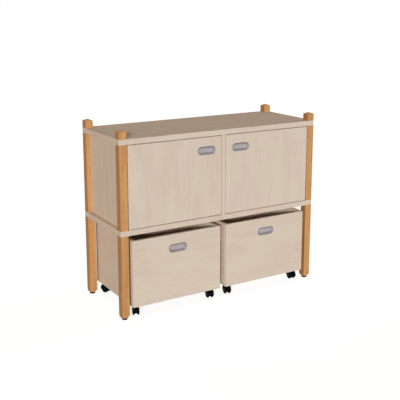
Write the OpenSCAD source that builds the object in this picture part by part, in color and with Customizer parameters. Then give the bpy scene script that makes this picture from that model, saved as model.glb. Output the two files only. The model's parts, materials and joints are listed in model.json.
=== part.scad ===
// Two-door cupboard on four square posts, with two rolling boxes under its middle shelf.
// Millimetres. +Z is up, the doors face -Y, and the origin is on the floor under the middle.

/* [Frame] */
// Width over the outer faces of the posts
cabinet_w = 1060; // [800:10:1300]
// Depth over the outer faces of the posts
cabinet_d = 400; // [340:10:500]
// Side of the square posts
post_w = 38; // [34:1:44]
// Rounding of the long post edges and of the board corners
post_edge_r = 3; // [1:0.5:5]
// Length of the legs under the middle shelf
leg_len = 379; // [300:1:480]
// Length of the posts between the two boards
upper_post_len = 380; // [300:1:480]
// Thickness of the middle shelf and the top board
board_t = 25; // [20:1:32]

/* [Post ends] */
// Height of the loose post heads above the top board
head_h = 41; // [30:1:60]
// Height of the low pyramid on each post head
head_point_h = 8; // [2:1:12]
// Diameter of the turned end of each leg, just above the glide
leg_foot_d = 31; // [29:1:33]
// Diameter of the plastic glides
glide_d = 26; // [18:1:28]
// Height of the glides
glide_h = 9; // [6:1:14]
// Rounding of the glides' lower rim
glide_rim_r = 2; // [1:0.5:4]
// Diameter of the pin on each glide
glide_pin_d = 6; // [4:1:8]
// Length of the pin on each glide
glide_pin_len = 15; // [8:1:25]

/* [Connectors] */
// Diameter of the steel studs that join the posts through the boards
stud_d = 8; // [6:1:10]
// Depth of a stud in a leg or post
stud_in_post = 35; // [20:1:50]
// Depth of a stud in a post head
stud_in_head = 25; // [10:1:28]
// Diameter of the wooden dowels in the panel edges
dowel_d = 8; // [5:1:10]
// Depth of a dowel in a board
dowel_in_board = 12; // [6:1:15]
// Depth of a dowel in a panel edge
dowel_in_panel = 18; // [10:1:30]
// Distance of the dowels from the ends of a panel
dowel_inset = 50; // [25:1:80]

/* [Panels] */
// Thickness of the side panels
side_panel_t = 16; // [13:1:19]
// Thickness of the divider between the two compartments
divider_t = 19; // [16:1:25]
// Thickness of the back panel
back_panel_t = 8; // [4:1:12]
// Distance of the back panel from the rear faces of the posts
back_recess = 12; // [4:1:20]

/* [Doors] */
// Thickness of the doors
door_t = 19; // [17:1:22]
// Gap around each door
door_gap = 3; // [2.5:0.1:4]
// Distance of the hinge pins from the door's hinged edge
pivot_in = 12; // [11:0.5:16]
// Distance of the hinge pins from the door's front face
pivot_back = 7; // [6.5:0.5:8]
// Diameter of the hinge pins
pin_d = 6; // [4:0.5:6.5]
// Depth of a hinge pin in the door
pin_in_door = 25; // [15:1:40]
// Wall of the bushes that the hinge pins turn in
bush_wall = 1.5; // [1:0.5:2]
// Depth of a bush in a board
bush_len = 12; // [8:1:15]
// Width of the flange on a bush
bush_flange = 2; // [1:0.5:2.5]

/* [Door catches] */
// Length of a magnetic catch, along the door
catch_l = 46; // [35:1:60]
// Depth of a magnetic catch, front to back
catch_d = 14; // [10:1:20]
// Height of a magnetic catch
catch_h = 14; // [12:1:18]
// Distance of a catch's middle from the door's free edge
catch_inset = 60; // [40:1:120]
// Length of a strike plate
strike_l = 40; // [25:1:60]
// Height of a strike plate
strike_h = 10; // [6:1:12]
// Thickness of a strike plate
strike_t = 1.5; // [1:0.5:2.5]

/* [Grips] */
// Width of a grip over its rim
grip_w = 94; // [80:1:110]
// Height of a grip over its rim
grip_h = 40; // [36:1:50]
// Corner radius of a grip's rim
grip_r = 16; // [12:1:17]
// Height of the rim above the face of the board
grip_lip = 1.2; // [0.8:0.1:2]
// Width of the rim around the dish
grip_flange = 4; // [2:0.5:5]
// Depth of the dish behind the face of the board
grip_depth = 12; // [8:0.5:12.5]
// Wall of the dish
grip_wall = 2; // [1.5:0.5:3]
// Distance of a door grip's middle from the door's free edge
grip_inset = 81; // [65:1:120]
// Distance of a door grip's middle from the door's top edge
grip_drop = 61; // [45:1:90]
// Distance of a box grip's middle from the top edge of the box
box_grip_drop = 66; // [45:1:100]

/* [Rolling boxes] */
// Gap between a box and the post beside it
box_side_gap = 16; // [12:1:30]
// Gap between the two boxes
box_middle_gap = 32; // [20:1:60]
// Gap between the top edge of a box and the middle shelf
box_top_gap = 27; // [10:1:60]
// Gap between the back of a box and the rear faces of the posts
box_back_gap = 0; // [0:1:40]
// Thickness of the boards of the boxes
box_t = 16; // [15:1:19]

/* [Casters] */
// Height of a caster from the floor to the box
caster_h = 51; // [50:1:60]
// Diameter of the wheels
wheel_d = 40; // [34:1:41]
// Width of one wheel
wheel_t = 9; // [6:0.5:12]
// Bevel on the two rims of a wheel's tread
tread_bevel = 1.2; // [0.5:0.1:2]
// Diameter of the hub on a wheel's outer face
hub_d = 18; // [10:0.5:20]
// Outer diameter of the recess around the hub
recess_d = 30; // [25:0.5:31]
// Depth of the recess around the hub
recess_depth = 1.8; // [0.5:0.1:2.5]
// Thickness of the web between the two wheels
web_t = 11; // [9:0.5:14]
// Distance of the wheel axle behind the swivel axis
trail = 12; // [8:0.5:15]
// Diameter of the wheel axle
axle_d = 5; // [3:0.5:6]
// Thickness of the mudguard over the wheels
guard_t = 3; // [1.5:0.5:3]
// Distance that the housing reaches below the axle
guard_drop = 6; // [4:0.5:8]
// Side of the square fixing plate
plate_w = 38; // [34:1:44]
// Thickness of the fixing plate
plate_t = 2.5; // [1.5:0.5:3]
// Corner radius of the fixing plate
plate_r = 4; // [2:0.5:6]
// Diameter of the pin that the housing turns on
kingpin_d = 6; // [4:0.5:6.5]
// Length of the pin that the housing turns on
kingpin_len = 16; // [10:1:18]
// Diameter of the neck around that pin
neck_d = 14; // [12:0.5:18]
// Distance between the fixing screws
screw_spacing = 26; // [24:1:28]
// Diameter of the fixing screws
screw_d = 3.5; // [2.5:0.5:4]
// Diameter of the screw heads
screw_head_d = 7; // [6:0.5:7.5]
// Height of the screw heads
screw_head_h = 1.8; // [1:0.1:2]
// Depth of the screws in the box
screw_in_box = 12; // [8:1:14]
// Distance of the swivel axis from the side of the box
caster_in_x = 34; // [30:1:60]
// Distance of the swivel axis from the front or back of the box
caster_in_y = 51; // [45:1:80]

/* [Clearances] */
// Radial clearance of a pin, stud, dowel, screw or axle in its hole
hole_clear = 0.05; // [0.03:0.01:0.1]
// Room past the end of a pin, stud, dowel or screw
end_clear = 1; // [0.5:0.1:2]
// Gap between faces that turn or slide past each other
run_clear = 0.3; // [0.2:0.1:0.5]
// Gap between a grip's dish and its pocket
pocket_clear = 0.3; // [0.2:0.1:0.5]
// Gap between a wheel and the web beside it
wheel_side_clear = 0.5; // [0.3:0.1:1]
// Gap between a wheel and the mudguard over it
wheel_top_clear = 1; // [0.5:0.1:1.5]

/* [Hidden] */
// How far a cut reaches past the face that it opens
cut = 1;
// Smoothness of round holes, of rounded corners and of turned shapes
hole_fn = 32;
corner_fn = 48;
turned_fn = 96;

// Heights of the faces that the pieces stand on
shelf_z = glide_h + leg_len;
upper_z = shelf_z + board_t;
top_z = upper_z + upper_post_len;
head_z = top_z + board_t;

// Faces of the frame, front to back
front_y = -(cabinet_d - grip_lip) / 2;
rear_y = front_y + cabinet_d;
mid_y = (front_y + rear_y) / 2;
back_panel_y = rear_y - back_recess - back_panel_t;

// Inner face of the right-hand posts, and the post centres
bay_x = cabinet_w / 2 - post_w;
post_x = (cabinet_w - post_w) / 2;
post_y = (cabinet_d - post_w) / 2;

// Panels that the dowels hold
panel_x = bay_x + side_panel_t / 2;
panel_len = cabinet_d - 2 * post_w;
divider_len = back_panel_y - front_y;
divider_mid_y = (front_y + back_panel_y) / 2;

// Doors
door_w = bay_x - divider_t / 2 - 2 * door_gap;
door_h = upper_post_len - 2 * door_gap;
pin_in_bush = bush_len - end_clear;
bush_d = pin_d + 2 * hole_clear + 2 * bush_wall;
bush_flange_t = door_gap - run_clear;

// Grips
dish_w = grip_w - 2 * grip_flange;
dish_h = grip_h - 2 * grip_flange;
dish_r = grip_r - grip_flange;

// Rolling boxes
box_w = bay_x - box_side_gap - box_middle_gap / 2;
box_d = cabinet_d - box_back_gap;
box_h = shelf_z - box_top_gap - caster_h;
box_inner_d = box_d - 2 * box_t;
box_inner_w = box_w - 2 * box_t;

// Casters
caster_w = web_t + 2 * wheel_side_clear + 2 * wheel_t;
guard_inner_r = wheel_d / 2 + wheel_top_clear;
guard_r = guard_inner_r + guard_t;
plate_z = caster_h - plate_t;
housing_top_z = plate_z - run_clear;

// Left edge of each box, and how far each caster is turned at rest, in degrees
box_names = ["left_box", "right_box"];
box_x = [-bay_x + box_side_gap, box_middle_gap / 2];
caster_names = ["front_left", "front_right", "rear_left", "rear_right"];
caster_side = [-1, 1, -1, 1];
caster_end = [-1, -1, 1, 1];
caster_turn = [[-20, -12, 203, 190], [-14, -6, 195, 200]];

post_names = ["front_left", "front_right", "rear_left", "rear_right"];

beech = [0.78, 0.58, 0.37];
maple = [0.83, 0.76, 0.69];
grey_plastic = [0.65, 0.64, 0.66];
black_plastic = [0.05, 0.05, 0.05];
dark_plastic = [0.2, 0.15, 0.13];
white_plastic = [0.9, 0.9, 0.88];
steel = [0.7, 0.71, 0.73];

box_parts = ["front", "back", "left_side", "right_side", "bottom", "grip",
             "caster_plates", "caster_screws"];

// A rectangle with round corners, centred on the origin
module rounded_rect(w, h, r) {
    square([w - 2 * r, h], center = true);
    square([w, h - 2 * r], center = true);
    for (x = [-1, 1], y = [-1, 1])
        translate([x * (w / 2 - r), y * (h / 2 - r)])
            circle(r = r, $fn = corner_fn);
}

// An upright plate with round corners, from y0 to y1
module rounded_plate(w, h, r, y0, y1) {
    translate([0, y1, 0])
        rotate([90, 0, 0])
            linear_extrude(y1 - y0)
                rounded_rect(w, h, r);
}

// A hole for a pin of diameter d, from z = 0 up to the pin's end and the room past it
module blind_hole(d, depth) {
    translate([0, 0, -cut])
        cylinder(d = d + 2 * hole_clear, h = depth + end_clear + cut, $fn = hole_fn);
}

module blind_hole_down(d, depth) {
    mirror([0, 0, 1])
        blind_hole(d, depth);
}

module at_post(i) {
    translate([(i % 2 == 0 ? -1 : 1) * post_x, mid_y + (i < 2 ? -1 : 1) * post_y, 0])
        children();
}

module at_every_post() {
    for (i = [0:3])
        at_post(i)
            children();
}

// Draws the left-hand piece, or its mirror image for the right-hand one
module on_side(side) {
    if (side == "left")
        children();
    else
        mirror([1, 0, 0])
            children();
}

module post_bar(len) {
    linear_extrude(len)
        rounded_rect(post_w, post_w, post_edge_r);
}

// Leg: its lower end is turned to a cone, so that the corners run out in arcs
module leg(i) {
    turned_r = leg_foot_d / 2 + post_w / 2;
    color(beech)
        at_post(i)
            translate([0, 0, glide_h])
                difference() {
                    intersection() {
                        post_bar(leg_len);
                        rotate_extrude($fn = turned_fn)
                            polygon([[0, 0], [leg_foot_d / 2, 0], [turned_r, post_w / 2],
                                     [turned_r, leg_len + cut], [0, leg_len + cut]]);
                    }
                    blind_hole(glide_pin_d, glide_pin_len);
                    translate([0, 0, leg_len])
                        blind_hole_down(stud_d, stud_in_post);
                }
}

module post(i) {
    color(beech)
        at_post(i)
            translate([0, 0, upper_z])
                difference() {
                    post_bar(upper_post_len);
                    blind_hole(stud_d, stud_in_post);
                    translate([0, 0, upper_post_len])
                        blind_hole_down(stud_d, stud_in_post);
                }
}

// Roof outline whose slopes drop head_point_h from the middle to the post's face
module roof_outline() {
    polygon([[-post_w, -cut], [post_w, -cut], [post_w, head_h - 2 * head_point_h],
             [0, head_h], [-post_w, head_h - 2 * head_point_h]]);
}

module post_heads() {
    color(beech)
        at_every_post()
            translate([0, 0, head_z])
                difference() {
                    intersection() {
                        post_bar(head_h);
                        rotate([90, 0, 0])
                            linear_extrude(2 * post_w, center = true)
                                roof_outline();
                        rotate([90, 0, 90])
                            linear_extrude(2 * post_w, center = true)
                                roof_outline();
                    }
                    blind_hole(stud_d, stud_in_head);
                }
}

module glides() {
    color(dark_plastic)
        at_every_post() {
            rotate_extrude($fn = turned_fn) {
                translate([0, glide_rim_r])
                    square([glide_d / 2, glide_h - glide_rim_r]);
                square([glide_d / 2 - glide_rim_r, glide_h]);
                intersection() {
                    translate([glide_d / 2 - glide_rim_r, glide_rim_r])
                        circle(r = glide_rim_r, $fn = corner_fn);
                    square([glide_d / 2, glide_h]);
                }
            }
            translate([0, 0, glide_h - cut])
                cylinder(d = glide_pin_d, h = glide_pin_len + cut, $fn = hole_fn);
        }
}

module connector_studs() {
    color(steel)
        at_every_post() {
            translate([0, 0, shelf_z - stud_in_post])
                cylinder(d = stud_d, h = board_t + 2 * stud_in_post, $fn = hole_fn);
            translate([0, 0, top_z - stud_in_post])
                cylinder(d = stud_d, h = board_t + stud_in_post + stud_in_head, $fn = hole_fn);
        }
}

// Every place of a dowel, seen from above
module at_dowels() {
    for (end = [-1, 1]) {
        for (side = [-1, 1])
            translate([side * panel_x, mid_y + end * (panel_len / 2 - dowel_inset), 0])
                children();
        translate([0, divider_mid_y + end * (divider_len / 2 - dowel_inset), 0])
            children();
    }
}

module panel_dowels() {
    color(beech)
        at_dowels() {
            translate([0, 0, upper_z - dowel_in_board])
                cylinder(d = dowel_d, h = dowel_in_board + dowel_in_panel, $fn = hole_fn);
            translate([0, 0, top_z - dowel_in_panel])
                cylinder(d = dowel_d, h = dowel_in_board + dowel_in_panel, $fn = hole_fn);
        }
}

// Every hinge axis, seen from above
module at_hinge(side) {
    on_side(side)
        translate([-bay_x + door_gap + pivot_in, front_y + pivot_back, 0])
            children();
}

// Board with its fitted face at z = 0 and its wood above that face
module fitted_board() {
    difference() {
        translate([0, mid_y, 0])
            linear_extrude(board_t)
                rounded_rect(cabinet_w, cabinet_d, post_edge_r);
        at_every_post()
            translate([0, 0, -cut])
                cylinder(d = stud_d + 2 * hole_clear, h = board_t + 2 * cut, $fn = hole_fn);
        at_dowels()
            blind_hole(dowel_d, dowel_in_board);
        for (side = ["left", "right"])
            at_hinge(side)
                blind_hole(bush_d, bush_len);
    }
}

module top_board() {
    color(maple)
        translate([0, 0, top_z])
            fitted_board();
}

module middle_shelf() {
    color(maple)
        translate([0, 0, upper_z])
            mirror([0, 0, 1])
                fitted_board();
}

// Takes the dowel holes out of an upright panel
module doweled() {
    difference() {
        children();
        at_dowels() {
            translate([0, 0, upper_z])
                blind_hole(dowel_d, dowel_in_panel);
            translate([0, 0, top_z])
                blind_hole_down(dowel_d, dowel_in_panel);
        }
    }
}

module side_panel(side) {
    color(maple)
        on_side(side)
            doweled()
                translate([-bay_x - side_panel_t, mid_y - panel_len / 2, upper_z])
                    cube([side_panel_t, panel_len, upper_post_len]);
}

module divider() {
    color(maple)
        doweled()
            translate([-divider_t / 2, front_y, upper_z])
                cube([divider_t, divider_len, upper_post_len]);
}

module back_panel() {
    color(maple)
        translate([-bay_x, back_panel_y, upper_z])
            cube([2 * bay_x, back_panel_t, upper_post_len]);
}

// Bush with its flange below z = 0 and its sleeve above
module hinge_bush() {
    rotate_extrude($fn = turned_fn)
        translate([pin_d / 2 + hole_clear, 0]) {
            square([bush_wall, bush_len]);
            translate([0, -bush_flange_t])
                square([bush_wall + bush_flange, bush_flange_t]);
        }
}

module hinge_bushes() {
    color(white_plastic)
        for (side = ["left", "right"])
            at_hinge(side) {
                translate([0, 0, top_z])
                    hinge_bush();
                translate([0, 0, upper_z])
                    mirror([0, 0, 1])
                        hinge_bush();
            }
}

module hinge_pins(side) {
    color(steel)
        at_hinge(side) {
            translate([0, 0, upper_z - pin_in_bush])
                cylinder(d = pin_d, h = pin_in_bush + door_gap + pin_in_door, $fn = hole_fn);
            translate([0, 0, top_z - door_gap - pin_in_door])
                cylinder(d = pin_d, h = pin_in_bush + door_gap + pin_in_door, $fn = hole_fn);
        }
}

// The left door's lower front corner beside its hinged edge
module at_door(side) {
    on_side(side)
        translate([-bay_x + door_gap, front_y, upper_z + door_gap])
            children();
}

module door(side) {
    color(maple)
        difference() {
            at_door(side)
                difference() {
                    cube([door_w, door_t, door_h]);
                    translate([door_w - grip_inset, 0, door_h - grip_drop])
                        grip_pocket();
                }
            at_hinge(side) {
                translate([0, 0, upper_z + door_gap])
                    blind_hole(pin_d, pin_in_door);
                translate([0, 0, top_z - door_gap])
                    blind_hole_down(pin_d, pin_in_door);
            }
        }
}

// Grip: a rim on the face of the board at y = 0, and a dish behind it
module grip() {
    difference() {
        union() {
            rounded_plate(grip_w, grip_h, grip_r, -grip_lip, 0);
            rounded_plate(dish_w, dish_h, dish_r, -grip_lip, grip_depth);
        }
        rounded_plate(dish_w - 2 * grip_wall, dish_h - 2 * grip_wall, dish_r - grip_wall,
                      -grip_lip - cut, grip_depth - grip_wall);
    }
}

module grip_pocket() {
    rounded_plate(dish_w + 2 * pocket_clear, dish_h + 2 * pocket_clear,
                  dish_r + pocket_clear, -cut, grip_depth + pocket_clear);
}

module door_grip(side) {
    color(grey_plastic)
        at_door(side)
            translate([door_w - grip_inset, 0, door_h - grip_drop])
                grip();
}

module magnetic_catches() {
    color(white_plastic)
        for (side = ["left", "right"])
            at_door(side)
                translate([door_w - catch_inset - catch_l / 2, door_t + strike_t + run_clear,
                           door_h + door_gap - catch_h])
                    cube([catch_l, catch_d, catch_h]);
}

module strike_plate(side) {
    color(steel)
        at_door(side)
            translate([door_w - catch_inset - strike_l / 2, door_t, door_h - strike_h])
                cube([strike_l, strike_t, strike_h]);
}

// Lower front left corner of a rolling box
module at_box(b) {
    translate([box_x[b], front_y, caster_h])
        children();
}

module at_caster(b, c) {
    translate([box_x[b] + box_w / 2 + caster_side[c] * (box_w / 2 - caster_in_x),
               front_y + box_d / 2 + caster_end[c] * (box_d / 2 - caster_in_y), 0])
        children();
}

module at_screws() {
    for (x = [-1, 1], y = [-1, 1])
        translate([x * screw_spacing / 2, y * screw_spacing / 2, 0])
            children();
}

module box_front(b) {
    color(maple)
        at_box(b)
            difference() {
                cube([box_w, box_t, box_h]);
                translate([box_w / 2, 0, box_h - box_grip_drop])
                    grip_pocket();
            }
}

module box_back(b) {
    color(maple)
        at_box(b)
            translate([0, box_d - box_t, 0])
                cube([box_w, box_t, box_h]);
}

module box_side(b, x) {
    color(maple)
        at_box(b)
            translate([x, box_t, 0])
                cube([box_t, box_inner_d, box_h]);
}

module box_bottom(b) {
    color(maple)
        difference() {
            at_box(b)
                translate([box_t, box_t, 0])
                    cube([box_inner_w, box_inner_d, box_t]);
            for (c = [0:3])
                at_caster(b, c)
                    at_screws()
                        translate([0, 0, caster_h])
                            blind_hole(screw_d, screw_in_box);
        }
}

module box_grip(b) {
    color(grey_plastic)
        at_box(b)
            translate([box_w / 2, 0, box_h - box_grip_drop])
                grip();
}

// Fixing plates, each with the pin that its caster turns on
module caster_plates(b) {
    color(steel)
        for (c = [0:3])
            at_caster(b, c) {
                translate([0, 0, plate_z])
                    difference() {
                        linear_extrude(plate_t)
                            rounded_rect(plate_w, plate_w, plate_r);
                        at_screws()
                            translate([0, 0, -cut])
                                cylinder(d = screw_d + 2 * hole_clear, h = plate_t + 2 * cut,
                                         $fn = hole_fn);
                    }
                translate([0, 0, plate_z - kingpin_len])
                    cylinder(d = kingpin_d, h = kingpin_len + plate_t / 2, $fn = hole_fn);
            }
}

module caster_screws(b) {
    color(steel)
        for (c = [0:3])
            at_caster(b, c)
                at_screws() {
                    translate([0, 0, plate_z - screw_head_h])
                        cylinder(d = screw_head_d, h = screw_head_h, $fn = hole_fn);
                    translate([0, 0, plate_z - screw_head_h / 2])
                        cylinder(d = screw_d, h = screw_head_h / 2 + plate_t + screw_in_box,
                                 $fn = hole_fn);
                }
}

// A round bar across the caster, through the wheel axle, from x0 to x1
module across(r, x0, x1) {
    translate([x0, -trail, wheel_d / 2])
        rotate([0, 90, 0])
            cylinder(r = r, h = x1 - x0, $fn = turned_fn);
}

// Caster housing: a web between the wheels, a mudguard over them and a neck on the pin
module caster_housing(b, c) {
    bore_depth = kingpin_len - run_clear;
    color(black_plastic)
        at_caster(b, c)
            rotate([0, 0, caster_turn[b][c]])
                difference() {
                    union() {
                        intersection() {
                            across(guard_r, -caster_w / 2, caster_w / 2);
                            translate([-caster_w, -trail - 2 * guard_r, wheel_d / 2 - guard_drop])
                                cube([2 * caster_w, 4 * guard_r, 2 * guard_r]);
                        }
                        translate([0, 0, wheel_d / 2])
                            cylinder(d = neck_d, h = housing_top_z - wheel_d / 2, $fn = turned_fn);
                    }
                    for (x = [-caster_w, web_t / 2])
                        across(guard_inner_r, x, x + caster_w - web_t / 2);
                    across(axle_d / 2 + hole_clear, -caster_w, caster_w);
                    translate([0, 0, housing_top_z])
                        blind_hole_down(kingpin_d, bore_depth);
                }
}

// Outline of one wheel: a tread with bevelled rims, and a recess around the hub
module wheel_outline() {
    wheel_r = wheel_d / 2;
    bore_r = axle_d / 2 + hole_clear;
    polygon([[bore_r, 0], [wheel_r - tread_bevel, 0], [wheel_r, tread_bevel],
             [wheel_r, wheel_t - tread_bevel], [wheel_r - tread_bevel, wheel_t],
             [recess_d / 2, wheel_t], [recess_d / 2 - recess_depth, wheel_t - recess_depth],
             [hub_d / 2, wheel_t - recess_depth], [hub_d / 2, wheel_t], [bore_r, wheel_t]]);
}

module caster_wheels(b, c) {
    color(black_plastic)
        at_caster(b, c)
            rotate([0, 0, caster_turn[b][c]]) {
                for (side = [-1, 1])
                    translate([side * (web_t / 2 + wheel_side_clear), -trail, wheel_d / 2])
                        rotate([0, side * 90, 0])
                            rotate_extrude($fn = turned_fn)
                                wheel_outline();
                across(axle_d / 2, -caster_w / 2, caster_w / 2);
            }
}

for (i = [0:3]) {
    leg(i);
    post(i);
}
post_heads();
glides();
connector_studs();
panel_dowels();
middle_shelf();
top_board();
divider();
back_panel();
hinge_bushes();
magnetic_catches();
for (side = ["left", "right"]) {
    side_panel(side);
    door(side);
    door_grip(side);
    hinge_pins(side);
    strike_plate(side);
}
for (b = [0, 1]) {
    box_front(b);
    box_back(b);
    box_side(b, 0);
    box_side(b, box_w - box_t);
    box_bottom(b);
    box_grip(b);
    caster_plates(b);
    caster_screws(b);
    for (c = [0:3]) {
        caster_housing(b, c);
        caster_wheels(b, c);
    }
}
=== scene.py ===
# Two-door cupboard on four square posts, with two rolling boxes under its middle shelf.
# Metres, Z up, the doors face -Y and the floor is at Z = 0.
import json
import math

import bpy
from mathutils import Matrix, Vector


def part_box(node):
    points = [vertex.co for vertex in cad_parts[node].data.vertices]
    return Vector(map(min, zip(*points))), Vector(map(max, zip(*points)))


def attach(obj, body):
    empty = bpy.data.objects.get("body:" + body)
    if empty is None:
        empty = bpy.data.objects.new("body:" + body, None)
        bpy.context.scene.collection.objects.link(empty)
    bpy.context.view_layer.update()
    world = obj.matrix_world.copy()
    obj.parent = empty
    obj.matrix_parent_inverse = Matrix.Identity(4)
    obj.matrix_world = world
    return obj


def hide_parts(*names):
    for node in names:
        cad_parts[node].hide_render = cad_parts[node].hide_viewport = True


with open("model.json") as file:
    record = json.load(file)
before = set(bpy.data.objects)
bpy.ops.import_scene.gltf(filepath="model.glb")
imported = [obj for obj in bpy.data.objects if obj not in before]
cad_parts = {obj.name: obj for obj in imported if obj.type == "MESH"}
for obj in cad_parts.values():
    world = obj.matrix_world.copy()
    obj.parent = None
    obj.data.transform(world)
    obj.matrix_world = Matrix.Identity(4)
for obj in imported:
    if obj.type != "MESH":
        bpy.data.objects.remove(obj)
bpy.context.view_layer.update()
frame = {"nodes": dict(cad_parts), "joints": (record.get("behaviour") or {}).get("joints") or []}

# Viewpoint
# The cupboard is seen from its left front by a standing person, with a slightly long lens.
# The view is shifted down a little, so that the posts stay nearly upright in the picture.
camera_place = (-1.8354, -3.0127, 1.3786)
camera_heading = -31.24
camera_tilt = 11.22
camera_lens = 66.75
sensor_width = 36
camera_shift = -0.12

bpy.ops.object.camera_add(
    location=camera_place,
    rotation=(math.radians(90 - camera_tilt), 0, math.radians(camera_heading)),
)
camera = bpy.context.object
camera.data.sensor_width = sensor_width
camera.data.lens = camera_lens
camera.data.shift_y = camera_shift
bpy.context.scene.camera = camera
bpy.context.scene.view_settings.view_transform = "Standard"


# Studio
# A white floor runs into a white surround, whose light is a little warm, as in a room with wood.
# A soft lamp stands to the left of the viewer and lights the front. Two weaker lamps light the right
# side and the back, and show in no gloss. In front, a colour renders about as it is written.
floor_size = 40
floor_grey = (0.46, 0.44, 0.41, 1)
floor_lift = 0.82
low_surround = 0.10
high_surround = 0.16
rise_start = 0.35
rise_end = 0.65
fill_tint = (1.0, 0.89, 0.79, 1)
white = (1, 1, 1, 1)


def wire(tree, kind, inputs, **settings):
    """Adds a shader node, with each input given as a value or as the socket that feeds it."""
    node = tree.nodes.new(kind)
    for name, value in settings.items():
        setattr(node, name, value)
    for socket, value in inputs.items():
        if isinstance(value, bpy.types.NodeSocket):
            tree.links.new(value, node.inputs[socket])
        else:
            node.inputs[socket].default_value = value
    return node


def seen_directly(tree):
    """1 for a ray that the eye, a gloss or a clear body sees, and 0 for a ray that only carries light."""
    path = wire(tree, "ShaderNodeLightPath", {})
    seen = path.outputs["Is Camera Ray"]
    for kind in ("Is Glossy Ray", "Is Transmission Ray"):
        both = {0: seen, 1: path.outputs[kind]}
        seen = wire(tree, "ShaderNodeMath", both, operation="MAXIMUM").outputs[0]
    return seen


def lay_floor():
    """White paper that keeps the shadow of the cupboard."""
    bpy.ops.object.select_all(action="DESELECT")
    bpy.ops.mesh.primitive_plane_add(size=floor_size)
    floor = bpy.context.object
    floor.name = "studio_floor"
    paper = bpy.data.materials.new("studio_paper")
    paper.use_nodes = True
    tree = paper.node_tree
    tree.nodes.clear()
    matt = wire(tree, "ShaderNodeBsdfDiffuse", {"Color": floor_grey})
    seen = {0: seen_directly(tree), 1: floor_lift}
    lift = wire(tree, "ShaderNodeMath", seen, operation="MULTIPLY")
    glow = wire(tree, "ShaderNodeEmission", {"Color": white, "Strength": lift.outputs[0]})
    both = wire(tree, "ShaderNodeAddShader", {0: matt.outputs[0], 1: glow.outputs[0]})
    wire(tree, "ShaderNodeOutputMaterial", {"Surface": both.outputs[0]})
    floor.data.materials.append(paper)


def hang_surround():
    """White where it is seen. The warm light that it gives grows with the height above the horizon."""
    world = bpy.data.worlds.new("studio_surround")
    world.use_nodes = True
    tree = world.node_tree
    tree.nodes.clear()
    direction = wire(tree, "ShaderNodeTexCoord", {}).outputs["Generated"]
    height = wire(tree, "ShaderNodeSeparateXYZ", {0: direction}).outputs["Z"]
    rise = {
        "Value": height,
        "From Min": rise_start,
        "From Max": rise_end,
        "To Min": low_surround,
        "To Max": high_surround,
    }
    level = wire(tree, "ShaderNodeMapRange", rise)
    light = wire(tree, "ShaderNodeBackground", {"Color": fill_tint, "Strength": level.outputs[0]})
    backdrop = wire(tree, "ShaderNodeBackground", {"Color": white, "Strength": 1})
    choice = {0: seen_directly(tree), 1: light.outputs[0], 2: backdrop.outputs[0]}
    mixed = wire(tree, "ShaderNodeMixShader", choice)
    wire(tree, "ShaderNodeOutputWorld", {"Surface": mixed.outputs[0]})
    bpy.context.scene.world = world


def hang_lamp(name, heading, height, level, softness, glare=False):
    """A far, soft lamp. Its level is what it adds to a white sheet that faces it."""
    turn = (math.radians(90 - height), 0, math.radians(heading))
    bpy.ops.object.light_add(type="SUN", rotation=turn)
    lamp = bpy.context.object
    lamp.name = name
    lamp.data.energy = level * math.pi
    lamp.data.angle = math.radians(softness)
    lamp.visible_glossy = glare


lay_floor()
hang_surround()
hang_lamp("viewer_lamp", heading=-36.5, height=12.4, level=1.02, softness=5.5, glare=True)
hang_lamp("right_lamp", heading=90, height=6, level=0.62, softness=12)
hang_lamp("back_lamp", heading=180, height=6, level=0.48, softness=12)


# Legs
# Four bars of solid beech, planed square with softly rounded edges and finished with clear lacquer.
# The lower end of each is turned to a cone on a lathe, so that its flat sides run out in arcs.
post_rounding = 0.003
foot_radius = 0.0155
end_chamfer = 0.0006
upright = 2  # the Z axis
straight = 0.99  # from this cosine up, an edge or a normal counts as lying along an axis
same_place = 1e-5  # points closer than this count as one
sliver = 2e-6  # a cut can leave faces thinner than this, which are taken away


def alone(piece):
    """Selects a piece and nothing else."""
    bpy.ops.object.select_all(action="DESELECT")
    piece.select_set(True)
    bpy.context.view_layer.objects.active = piece


def block(name, low, high):
    """A squared bar or board between two corners."""
    bpy.ops.object.select_all(action="DESELECT")
    bpy.ops.mesh.primitive_cube_add(size=1, location=(low + high) / 2, scale=high - low)
    piece = bpy.context.object
    piece.name = name
    bpy.ops.object.transform_apply(location=True, rotation=True, scale=True)
    return piece


def pick(piece, kind, wanted):
    """Opens the piece in edit mode with only the wanted edges or faces selected."""
    alone(piece)
    bpy.ops.object.mode_set(mode="EDIT")
    bpy.ops.mesh.select_mode(type=kind)
    bpy.ops.mesh.select_all(action="DESELECT")
    bpy.ops.object.mode_set(mode="OBJECT")
    if kind == "EDGE":
        points = piece.data.vertices
        for edge in piece.data.edges:
            start, end = edge.vertices
            edge.select = wanted(points[start].co, points[end].co)
    else:
        for face in piece.data.polygons:
            face.select = wanted(face)
    bpy.ops.object.mode_set(mode="EDIT")


def round_edges(piece, wanted, radius, steps):
    """Rounds the wanted edges of a piece."""
    pick(piece, "EDGE", wanted)
    bpy.ops.mesh.bevel(offset=radius, segments=steps, affect="EDGES", clamp_overlap=False)
    bpy.ops.object.mode_set(mode="OBJECT")


def runs_along(axis):
    """Edges that run along an axis."""

    def test(start, end):
        step = end - start
        return abs(step[axis]) > straight * step.length

    return test


def level_at(axis, place):
    """Edges that lie in the plane at that place on an axis."""

    def test(start, end):
        return abs(start[axis] - place) < same_place and abs(end[axis] - place) < same_place

    return test


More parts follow.
